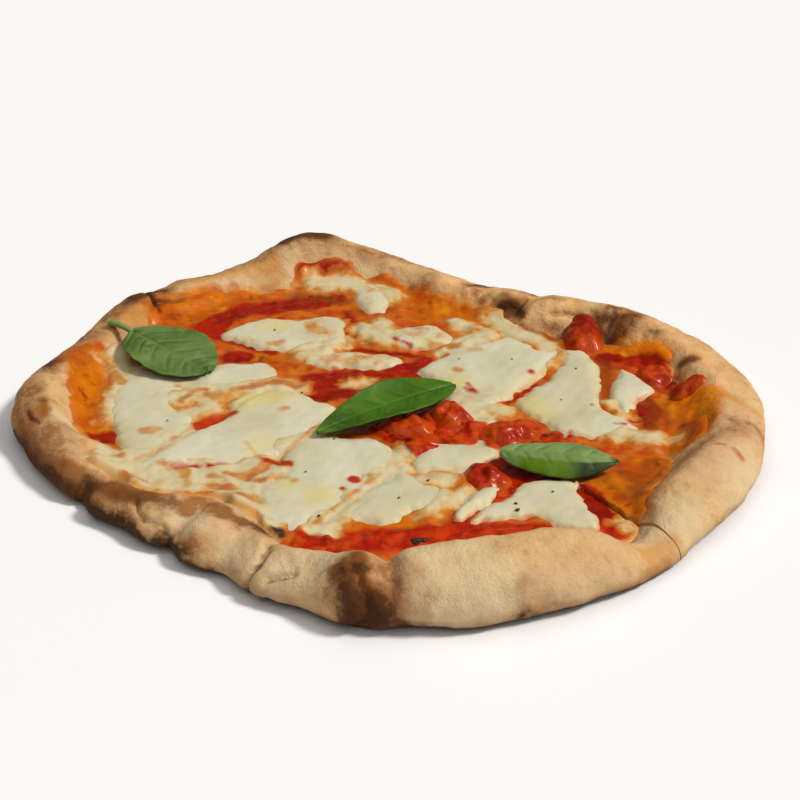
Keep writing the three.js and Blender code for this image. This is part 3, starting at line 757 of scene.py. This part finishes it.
def sauce_colour(dye):
    cloud = dye.noise(9, 3)
    blot = dye.noise(3, 4)
    streak = dye.noise(5, 3, 0.6)
    grain = dye.noise(0.8, 3)
    orange = (dye.field("orange") + cloud * 9 + blot * 5).mask(6)
    oily = coated(
        (cloud * 4 + 0.5).mix((206, 118, 4), (180, 76, 0)),
        ((streak - 0.06) * 8, (132, 48, 0)),
        ((streak + 0.1) * -8, (208, 138, 16)),
        # Oil on the slopes turned away from the lamp is painted a brighter orange, as painted light
        ((dye.field("rosy_painted_light") + blot * 8).mask(8) * 0.7, (244, 130, 0)),
    )
    pool = (dye.field("bright") * 0.9).mix(
        (cloud * 4 + blot * 2 + 0.4).mix((132, 12, 0), (164, 30, 0)),
        (blot * 5 + 0.5).mix((162, 22, 0), (196, 54, 2)),
    )
    lumps = ((streak - 0.06) * 9).mix((blot * 5 + 0.5).mix((162, 26, 0), (188, 64, 8)), (100, 14, 0))
    milk = (dye.field("milk") + cloud * 12 + blot * 12) / 7 + 0.6
    milky = milk.within()
    veined = ((streak - 0.05) * 7).within() * milky
    ochre = (dye.field("ochre") + blot * 6 + cloud * 4).mask(2) * milky
    bare = (0.8 - dye.field("edge") / 5 + blot * 1.6).within()
    colour = coated(
        (blot * 4 + 0.5).mix((178, 62, 8), (200, 106, 26)),
        (orange, oily),
        ((dye.field("red") + cloud * 7 + blot * 5).mask(2.2), pool),
        (milk * 3, (190, 106, 34)),
        (milk * 3 - 1, (206, 160, 94)),
        (milk * 2 - 1.1, (206, 194, 154)),
        (veined * 0.5, (cloud * 5 + 0.5).mix((206, 160, 84), (190, 118, 54))),
        (dye.field("pulp").mask(2), lumps),
        (ochre * 0.85, (streak * 7 + 0.5).mix((196, 132, 34), (178, 92, 22))),
        ((dye.field("drop") + blot * 6).mask(2), (170, 42, 0)),
        ((dye.field("brown") + blot * 9).mask(4) * 0.75, (132, 56, 6)),
        ((dye.field("burnt") + blot * 3).mask(1.5), (60, 34, 24)),
        (bare * (1 - orange * (1 - milky)) * 0.85, orange.mix((206, 150, 80), (204, 118, 26))),
    )
    height = (blot * 0.7 + grain * 0.2) * (1 - orange * 0.5) * (1 - milky * 0.6)
    return colour, (0.33 + blot * 0.22 + milky * 0.12).within(), height, {
        "Specular IOR Level": 0.22,
        "Specular Tint": (1, 0.6, 0.3, 1),
        "Coat Weight": 0.12,
        "Coat Roughness": 0.12,
    }


sauce_finish = finish_of("sauce", sauce_colour)
sauce_faces = [*ring_faces(sauce_points), range(SAUCE_COLUMNS)]
# The sliced sides of the sauce at the open cut
opened = np.flatnonzero(sauce_r[:, 0] >= CUT["from"])
start = SAUCE_ROWS * SAUCE_COLUMNS
for column in (0, SAUCE_COLUMNS - 1):
    for i, (row, after) in enumerate(zip(opened, opened[1:])):
        side = (row * SAUCE_COLUMNS + column, after * SAUCE_COLUMNS + column, start + i + 1, start + i)
        sauce_faces.append(side if column else side[::-1])
    start += len(opened)
feet = [sauce_points[opened, column] - (0, 0, SAUCE + AIR) for column in (0, -1)]
sauce_piece = piece_from(
    "sauce_cooked",
    np.concatenate([sauce_points.reshape(-1, 3), *feet]),
    sauce_faces,
    {field: np.concatenate([v.ravel(), v[opened, 0], v[opened, -1]]) for field, v in sauce_fields.items()},
    sauce_finish,
)
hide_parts("sauce")


# Mozzarella. Torn fresh cheese has melted into fifteen low, smooth patches with soft sides that
# nearly run together. It is pale cream, and yellower and thinner where oil has run into it.
CHEESE = 2.6
CHEESE_HEM = 1.6
# Outlines in plan, anticlockwise or clockwise, rounded between their points
MOZZARELLA = {
    "west": [
        (-107, 20), (-98, 24), (-86, 25), (-78, 20), (-79, 10), (-85, 2), (-84, -8), (-77, -14),
        (-77, -24), (-85, -34), (-93, -44), (-101, -40), (-106, -26), (-109, -8),
    ],
    "inner_west": [
        (-90, 16), (-84, 24), (-74, 26), (-64, 29), (-52, 30), (-46, 24), (-48, 16), (-56, 10), (-66, 9),
        (-76, 12), (-84, 11),
    ],
    "middle": [
        (-57, 4), (-46, 6), (-35, 4), (-27, -3), (-20, -7), (-22, -16), (-27, -25), (-36, -34), (-44, -42),
        (-55, -48), (-67, -48), (-79, -51), (-91, -55), (-96, -49), (-88, -37), (-80, -29), (-72, -23),
        (-62, -12), (-63, -3),
    ],
    "south": [
        (-27, -27), (-15, -31), (-4, -31), (2, -39), (4, -48), (0, -59), (-7, -70), (-16, -80), (-24, -89),
        (-30, -97), (-38, -94), (-45, -84), (-49, -75), (-46, -66), (-39, -57), (-38, -46), (-36, -36),
    ],
    "south_small": [
        (6, -54), (13, -62), (21, -66), (23, -74), (18, -80), (9, -83), (4, -89), (-5, -90), (-15, -86),
        (-9, -74), (0, -62),
    ],
    "centre_small": [
        (15, -38), (24, -34), (34, -36), (42, -41), (38, -49), (31, -55), (20, -54), (11, -55), (10, -46),
    ],
    "south_east": [
        (53, -63), (62, -61), (70, -62), (72, -69), (74, -78), (78, -87), (77, -94), (65, -93), (58, -87),
        (48, -86), (39, -88), (32, -89), (37, -80), (46, -72),
    ],
    "strip": [
        (43, -68), (39, -75), (31, -83), (26, -87), (27, -79), (33, -71), (39, -66),
    ],
    "north_east": [
        (14, 22), (19, 31), (25, 38), (34, 43), (43, 50), (53, 53), (60, 47), (64, 41), (73, 39), (69, 28),
        (60, 16), (52, 6), (45, -3), (38, -6), (30, 2), (22, 12),
    ],
    "east": [
        (74, 40), (83, 40), (87, 29), (87, 12), (86, -4), (91, -14), (98, -22), (90, -29), (78, -29),
        (67, -25), (61, -16), (54, -7), (54, 1), (62, 10), (69, 20), (73, 30),
    ],
    "far_east": [
        (97, 25), (102, 20), (105, 14), (109, 8), (104, 2), (99, -4), (95, -9), (91, -2), (92, 9),
        (94, 18),
    ],
    "north_west": [
        (-71, 54), (-66, 60), (-60, 65), (-53, 69), (-45, 68), (-36, 69), (-24, 71), (-19, 66), (-19, 56),
        (-23, 47), (-31, 42), (-42, 41), (-52, 43), (-61, 47),
    ],
    "north_middle": [
        (-36, 36), (-28, 38), (-16, 39), (-4, 38), (6, 34), (4, 27), (-8, 26), (-20, 27), (-31, 29),
    ],
    "north": [
        (-15, 92), (-9, 103), (-3, 98), (-1, 88), (0, 78), (-6, 75), (-11, 80),
    ],
    "far_middle": [
        (-1, 53), (4, 60), (14, 63), (25, 59), (28, 50), (23, 43), (11, 43), (2, 46),
    ],
}
# Distance between the points of a patch
CHEESE_STEP = 0.75
# Pale yellow places
YELLOW = [
    (7, (-56, -2), (-44, 0)), (5, (18, 44), (22, 42)), (6, (60, -12), (56, -4)), (5, (30, 12), (22, 8)),
    (5, (-36, -66)), (6, (-24, -74)), (4, (-50, 60), (-44, 62)), (3, (-52, -40), (-46, -36)),
    (4, (-66, -60)),
]


def rounded(line):
    """A closed line through a few points, rounded between them."""
    line = np.array(line, float)
    before, after, beyond = np.roll(line, 1, 0), np.roll(line, -1, 0), np.roll(line, -2, 0)
    out = []
    for t in (0, 0.25, 0.5, 0.75):
        out.append(0.5 * (
            2 * line + (after - before) * t + (2 * before - 5 * line + 4 * after - beyond) * t ** 2
            + (3 * line - before - 3 * after + beyond) * t ** 3
        ))
    return np.stack(out, 1).reshape(-1, 2)


def inside_of(points, line):
    """How far in mm each point lies inside a closed line, less than 0 outside it."""
    x, y = points[..., 0], points[..., 1]
    nearest = np.full(x.shape, 99.0)
    within = np.zeros(x.shape, bool)
    for (ax, ay), (bx, by) in zip(line, np.roll(line, -1, 0)):
        nearest = np.minimum(nearest, off_line(points, (ax, ay), (bx, by)))
        if ay != by:
            within ^= ((ay > y) != (by > y)) & (x < ax + (y - ay) * (bx - ax) / (by - ay))
    return np.where(within, nearest, -nearest)


def cheese_colour(dye):
    cloud = dye.noise(12, 2)
    blot = dye.noise(4, 4)
    edge = dye.field("edge") + blot * 5 + cloud * 4
    milk = (dye.field("milk") / 4 + 0.5).within()
    mottled = (dye.noise(4, 4, 0.65) * 5 + (dye.field("mottled") / 6).within() * 1.5 - 1.1).within()
    ochre = (dye.field("ochre") + blot * 5 + cloud * 4).mask(2)
    colour = coated(
        (cloud * 3 + 0.5).mix((211, 207, 181), (199, 192, 158)),
        ((dye.field("yellow") + cloud * 8).mask(8) * 0.75, (214, 199, 128)),
        (mottled * 0.8, (blot * 4 + 0.5).mix((208, 176, 108), (200, 128, 66))),
        ((1.3 - edge / 3).within() * (0.35 - milk * 0.15), (208, 186, 128)),
        ((0.5 - edge / 1.5).within() * (0.7 - milk * 0.35), milk.mix((196, 92, 26), (206, 170, 110))),
        ((dye.field("crease") * 0.8 + blot * 0.9).within() * 0.5, (200, 166, 92)),
        (ochre * 0.75, (blot * 6 + 0.5).mix((204, 152, 62), (188, 108, 36))),
        ((dye.field("drop") + blot * 5).mask(1.6), (174, 46, 0)),
    )
    return colour, (0.46 + blot * 0.2).within(), blot * 0.3 + dye.noise(1.2, 2) * 0.06, {
        "Specular IOR Level": 0.35,
        "Subsurface Weight": 0.12,
        "Subsurface Radius": (0.004, 0.003, 0.0015),
        "Subsurface Scale": 1.0,
    }


cheese_finish = finish_of("mozzarella", cheese_colour)
# Parts of the patches that are thin and mottled
MOTTLES = [
    (11, (-34, 32), (-4, 33)), (7, (-8, 82), (-8, 98)), (9, (-30, 64), (-27, 48)),
    (5, (-62, 50), (-46, 44)), (11, (4, 52), (22, 54)), (5, (-84, 4), (-80, -8)),
    (5, (-90, -48), (-80, -50)), (5, (-44, -66), (-42, -80)), (5, (-104, 14), (-107, -10)),
    (4, (30, 36), (46, 48)), (3, (-2, -40), (0, -50)), (4, (34, -6), (40, 0)), (4, (92, -26), (80, -28)),
]
CHEESE_FIELDS = {"drop": DROPS, "ochre": OCHRE, "yellow": YELLOW, "mottled": MOTTLES, "milk": MILK}
# How far in from its edge a patch nearly reaches its full height, and the steeper ones
SOFT = 1.8
STEEPER = {"south_east": 1.4, "strip": 1.2, "centre_small": 1.6, "far_east": 1.6}
for place, corners in MOZZARELLA.items():
    line = rounded(corners)
    low, high = line.min(0) - 4, line.max(0) + 4
    plan = np.stack(np.meshgrid(
        np.arange(low[0], high[0], CHEESE_STEP), np.arange(low[1], high[1], CHEESE_STEP), indexing="ij",
    ), -1)
    fields = {field: brush(plan, strokes) for field, strokes in CHEESE_FIELDS.items()}
    inside = inside_of(plan, line) + 0.9 * waves(plan, 15, 21) + 0.3 * waves(plan, 6, 22) + 0.3
    inside += 2 * ease(fields["milk"] / 6 + 0.3) * ease(inside / 3 + 1)
    soft = STEEPER.get(place, SOFT) + 1.2 * ease(fields["milk"] / 6 + 0.5)
    body = 1 - np.exp(-np.maximum(inside, 0) / soft)
    crease = np.exp(-(brush(plan, CREASES) / 1.1) ** 2)
    height = (
        CHEESE * body * (0.93 + 0.1 * waves(plan, 20, 23) + 0.03 * waves(plan, 7, 24)) - 0.5 * crease * body
        + np.minimum(inside, 0) * 0.6
    )
    points = np.concatenate([plan, (ground(plan) + height)[..., None]], -1)
    faces = sheet_faces(*plan.shape[:2])
    used, faces = np.unique(faces[(inside.ravel()[faces] > -CHEESE_HEM).all(axis=1)], return_inverse=True)
    fields |= {"edge": inside, "crease": crease}
    piece = piece_from(
        "cheese_" + place,
        points.reshape(-1, 3)[used],
        faces.reshape(-1, 4),
        {field: values.ravel()[used] for field, values in fields.items()},
        cheese_finish,
    )
    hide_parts("mozzarella_" + place)


# Tomato. Seven torn and softened pieces stand out of the sauce, wet and glossy, with their skin
# wrinkled by the heat. One lies on the rim at the back.
# Each piece: its place, half its width and length, how it is turned in degrees, and its height
TOMATOES = {
    "middle": ((49, -27), (13, 9), 12, 5.5),
    "under_leaf": ((8, -21), (12, 8), 165, 5),
    "torn": ((26, -14), (10, 8), 120, 6),
    "front": ((38, -59), (8, 10), 30, 4.5),
    "on_the_rim": ((83, 50), (8, 11.5), 10, 6),
    "east": ((109, 17), (7, 9), 20, 5),
    "east_edge": ((121, 2), (6.5, 5.5), 0, 3.5),
}
# How deeply the skin of a piece is wrinkled
WRINKLED = 0.28
LESS_WRINKLED = {"on_the_rim": 0.1, "east_edge": 0.12, "east": 0.16}
TOMATO_RINGS = 30
TOMATO_SIDES = 72


def tomato_colour(dye):
    cloud = dye.noise(7, 3)
    blot = dye.noise(2.5, 4)
    colour = coated(
        (cloud * 5 + blot * 2 + 0.5).mix((156, 20, 0), (194, 66, 6)),
        ((blot - 0.1) * 8, (112, 12, 0)),
        ((1 - dye.field("high") * 1.5 + blot * 1.6).within() * 0.7, (190, 78, 12)),
        (dye.field("red") * (blot + 0.9), (134, 12, 0)),
    )
    return colour, (0.425 + blot * 0.25).within(), cloud * 1.8 + blot * 0.9, {
        "Specular IOR Level": 0.2,
        "Specular Tint": (1, 0.6, 0.35, 1),
        "Coat Weight": 0.2,
        "Coat Roughness": 0.15,
    }


def turns_of(count):
    """Angles of a number of points spread evenly round a circle."""
    return np.linspace(0, 2 * math.pi, count + 1)[:-1]


tomato_finish = finish_of("tomato", tomato_colour)
for seed, (place, (at, half, turn, tall)) in enumerate(TOMATOES.items()):
    ring = turns_of(TOMATO_SIDES)
    rings = np.linspace(0.02, 1.12, TOMATO_RINGS)
    u = np.cos(ring - math.radians(turn)) / half[0]
    v = np.sin(ring - math.radians(turn)) / half[1]
    wobble = 1 + 0.05 * np.cos(3 * ring + at[0]) + 0.04 * np.sin(5 * ring + at[1])
    reach = wobble / (np.abs(u) ** 2.5 + np.abs(v) ** 2.5) ** 0.4
    plan = at + (rings[:, None] * reach)[..., None] * np.stack([np.cos(ring), np.sin(ring)], -1)
    dome = np.where(rings < 1, np.maximum(0, 1 - rings ** 2) ** 0.8, -2.5 * (rings - 1))[:, None]
    wrinkles = waves(plan, 10, 40 + seed) + 0.35 * waves(plan, 5, 50 + seed)
    skin = 0.95 + LESS_WRINKLED.get(place, WRINKLED) * wrinkles
    lift = np.where(dome > 0, tall * dome * skin, 4 * dome)
    points = np.concatenate([plan, (ground(plan) + lift)[..., None]], -1)
    faces = [*sheet_faces(TOMATO_RINGS, TOMATO_SIDES, closed=True), range(TOMATO_SIDES)]
    fields = {
        "high": np.broadcast_to(np.maximum(dome, 0), lift.shape),
        "red": (place == "on_the_rim") * ease((plan[..., 1] - at[1]) / 10 + 0.5),
    }
    piece = piece_from("tomato_piece_" + place, points, faces, fields, tomato_finish)
    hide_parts("tomato_" + place)


# Basil. Three fresh leaves were laid on after baking. They are soft and quilted between their
# veins, paler along the midrib, and glossy on top. The west leaf keeps its stalk.
LEAF = 0.5
LEAF_ROWS = 90
LEAF_COLUMNS = 49
VEIN_PAIRS = 5.5
# Each leaf: its two ends, half its width, where its belly lies, its height at the stem, the middle and
# the tip, how far and how sharply its sides bend up or down, its quilting, and how blunt its ends are
BASIL = {
    "west": dict(
        stem=(-107.5, 46), tip=(-73, 15.5), half=17, belly=1.05, rise=(14, 13.5, 11),
        cup=(1.5, 2), fold=2, quilt=1.25, blunt=(0.48, 0.48),
    ),
    "centre": dict(
        stem=(27, 2), tip=(-27, -33), half=11.5, belly=0.85, rise=(13.5, 15.5, 11.5),
        cup=(3, 1.5), fold=2, quilt=0.35, blunt=(0.5, 0.8),
    ),
    "east": dict(
        stem=(43.5, -50), tip=(88, -57.5), half=10.3, belly=0.95, rise=(13.5, 17, 13.5),
        cup=(-5, -2), fold=3.5, quilt=0.3, blunt=(0.55, 0.7),
    ),
}
# Each leaf: its body, pale places painted as sheen, dark places, veins, and the side that bends down,
# painted in shade. The west and east leaves' bodies are painted paler and greyer than the centre one's, as
# painted sheen of their upper faces
LEAF_COLOURS_WITH_SHEEN = {
    "west": ((98, 126, 62), (124, 148, 90), (66, 94, 32), (126, 150, 92), (98, 126, 62)),
    "centre": ((66, 108, 10), (92, 132, 34), (42, 78, 4), (66, 104, 12), (70, 104, 10)),
    "east": ((126, 154, 90), (140, 164, 106), (96, 124, 62), (110, 138, 72), (82, 116, 0)),
}


def leaf_colour(colours):
    body, painted_sheen, dark, vein, shaded_fold = colours

    def paint(dye):
        cloud = dye.noise(8, 2)
        blot = dye.noise(4, 3)
        colour = coated(
            (cloud * 4 + 0.4).mix(body, dark),
            # Painted sheen in pale blotches
            ((blot * 5).within() * 0.6, painted_sheen),
            (dye.field("shade") * (blot * 2.4 + 0.7), dark),
            (dye.field("vein") * (cloud * 1.4 + 0.35), vein),
            # Painted shade: the east leaf's side that bends down is olive, darkening to a painted shadow
            # towards the tip
            (dye.field("shaded_fold") + cloud * 0.4, ((dye.field("along") - 0.55) * 6).mix(shaded_fold, (38, 48, 18))),
        )
        height = blot * 0.5 + dye.field("vein") * -0.15
        return colour, 0.5, height, {"Specular IOR Level": 0.3, "Specular Tint": (0.92, 1, 0.82, 1)}
    return paint


for place, leaf in BASIL.items():
    u = np.linspace(0.004, 0.996, LEAF_ROWS)[:, None]
    v = np.linspace(-1, 1, LEAF_COLUMNS)[None, :]
    stem, tip = np.array(leaf["stem"], float), np.array(leaf["tip"], float)
    run = tip - stem
    length = np.linalg.norm(run)
    across = np.array([-run[1], run[0]]) / length
    at_stem, at_tip = leaf["blunt"]
    width = leaf["half"] * np.sin(math.pi * u ** leaf["belly"]) ** (at_stem + (at_tip - at_stem) * u)
    width = width * (1 + 0.02 * np.sin(40 * u + 3 * np.sign(v)))
    plan = stem + run * u[..., None] + across * (width * v)[..., None]
    rise = leaf["rise"]
    spine = rise[0] * (1 - u) ** 2 + 2 * rise[1] * u * (1 - u) + rise[2] * u * u
    side = np.where(v < 0, leaf["cup"][0], leaf["cup"][1]) * np.abs(v) ** leaf["fold"] * np.sin(math.pi * u)
    wave = 0.6 * np.sin(9 * u + 2 * v) * v * v
    gap = length / VEIN_PAIRS
    spread = np.abs(v) * width
    bend = u * length - 0.55 * spread - 0.018 * spread ** 2
    phase = bend / gap + 0.2 * np.sin(5 * u + np.sign(v)) + 0.25 * (v > 0)
    past_vein = ((phase + 0.5) % 1 - 0.5) * gap / 1.2
    near_vein = np.abs(past_vein)
    fades = ease(np.abs(v) * 6) * ease((0.85 - np.abs(v)) * 2.5) * ease((0.97 - u) * 5)
    side_vein = np.exp(-(near_vein / 0.5) ** 2) * fades
    shade = np.exp(-((past_vein - 1.3) / 0.8) ** 2) * fades * (1.2 - 0.7 * u)
    midrib = np.exp(-(v * width / 0.6) ** 2) * (1 - 0.6 * u)
    bulge = np.sin(math.pi * np.clip(near_vein / (gap / 2), 0, 1)) * (1 - v * v) * ease(np.abs(v) * 3)
    quilted = leaf["quilt"] * bulge * (0.6 + 0.5 * np.sin(7 * u + 1))
    z = spine + side + wave + quilted - 0.15 * side_vein - 0.4 * midrib
    points = np.concatenate([plan, z[..., None]], -1)
    vein = np.clip(side_vein * 0.8 + midrib, 0, 1)
    # Mask of the east leaf's side that bends down, and of its tip, where shade is painted
    shaded_fold = np.maximum(ease((-v - 0.42) * 6) * ease(u * 5 - 0.3), ease((u - 0.9) * 12)) * (place == "east")
    fields = {"vein": vein, "shade": shade, "shaded_fold": shaded_fold, "along": np.broadcast_to(u, z.shape)}
    leaf_finish = finish_of("basil_" + place, leaf_colour(LEAF_COLOURS_WITH_SHEEN[place]))
    piece = piece_from("leaf_" + place, points, sheet_faces(LEAF_ROWS, LEAF_COLUMNS), fields, leaf_finish)
    thick = piece.modifiers.new("thickness", "SOLIDIFY")
    thick.thickness = LEAF * MM
    thick.offset = 0
    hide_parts("basil_" + place)

# The stalk of the west leaf, a short tube that bends down and aside from the leaf's stem end
STALK = {"length": 12, "half": 1.4, "drop": 0.5, "side": (-0.85, 0.53), "rings": 24, "sides": 16}
UP = np.array([0, 0, 1])
stem = np.array([*BASIL["west"]["stem"], BASIL["west"]["rise"][0]], float)
t = np.linspace(-0.12, 1, STALK["rings"])
way_x, way_y = STALK["side"]
line = stem + np.outer(t, [way_x * STALK["length"], way_y * STALK["length"], STALK["drop"]])
line[:, 2] += 0.8 * np.sin(2.4 * np.clip(t, 0, 1))
line[:, 0] += 0.7 * np.sin(3 * np.clip(t, 0, 1))
turns = turns_of(STALK["sides"])
thickness = STALK["half"] * (0.85 + 0.25 * t)
circle = np.cos(turns)[:, None] * np.array([way_y, -way_x, 0]) + np.sin(turns)[:, None] * UP
tube = line[:, None] + thickness[:, None, None] * circle
faces = [
    *sheet_faces(STALK["rings"], STALK["sides"], closed=True)[:, [0, 3, 2, 1]],
    range(STALK["sides"]),
    reversed(range((STALK["rings"] - 1) * STALK["sides"], STALK["rings"] * STALK["sides"])),
]


def stalk_colour(dye):
    blot = dye.noise(3, 3)
    return (blot + 0.5).mix((138, 156, 92), (112, 132, 66)), 0.45, blot * 0.3, {}


stalk = piece_from("leaf_west_stalk", tube, faces, {}, finish_of("stalk", stalk_colour))


# Pepper and burnt crumbs. Coarse black pepper lies on the cheese, and a few burnt scraps of
# cheese and basil lie in the sauce.
# Each crumb: its place in plan and its radius
CRUMBS = {
    "pepper": [
        (48, -80, 0.6), (48.5, -84, 0.7), (62, -72, 0.45), (-24, -88, 0.5), (-60, -60, 0.4), (16, -64, 0.45),
        (-20, -34, 0.35), (30, 30, 0.4), (52, 30, 0.35), (70, -4, 0.4), (-86, -20, 0.35), (-34, 2, 0.4),
        (5, -76, 0.4), (-30, -58, 0.35), (-9, -104, 0.5), (-15, -103, 0.45), (-48, 56, 0.4), (78, 22, 0.4),
    ],
    "burnt": [(11.5, -101, 1.9), (14, -100.5, 1.4), (42, -8, 1.2), (43.5, -7, 0.9), (-34, 92, 0.9)],
}
CRUMB_RINGS = 7
CRUMB_SIDES = 10


def crumb_colour(dye):
    blot = dye.noise(0.8, 3)
    return (blot + 0.5).mix((22, 18, 16), (58, 42, 30)), 0.55, blot * 0.5, {}


crumb_finish = finish_of("pepper", crumb_colour)
rng = np.random.default_rng(5)
for kind, crumbs in CRUMBS.items():
    points, faces = [], []
    for x, y, radius in crumbs:
        at = np.array([[x, y]], float)
        on_cheese = max(inside_of(at, rounded(corners))[0] for corners in MOZZARELLA.values())
        z = ground(at)[0] + (CHEESE if on_cheese > 0 else 0) + 0.15 * radius
        down = np.linspace(0, math.pi, CRUMB_RINGS)[:, None]
        turn = turns_of(CRUMB_SIDES)
        lump = radius * (1 + 0.25 * rng.normal(size=(CRUMB_RINGS, CRUMB_SIDES)))
        lump[0], lump[-1] = radius, radius
        ball = np.stack([
            x + 1.15 * lump * np.sin(down) * np.cos(turn),
            y + 0.85 * lump * np.sin(down) * np.sin(turn),
            z + 0.6 * lump * np.cos(down),
        ], -1)
        faces.extend(sheet_faces(CRUMB_RINGS, CRUMB_SIDES, closed=True) + len(points) * lump.size)
        points.append(ball.reshape(-1, 3))
    crumb = piece_from("crumbs_" + kind, np.concatenate(points), faces, {}, crumb_finish)
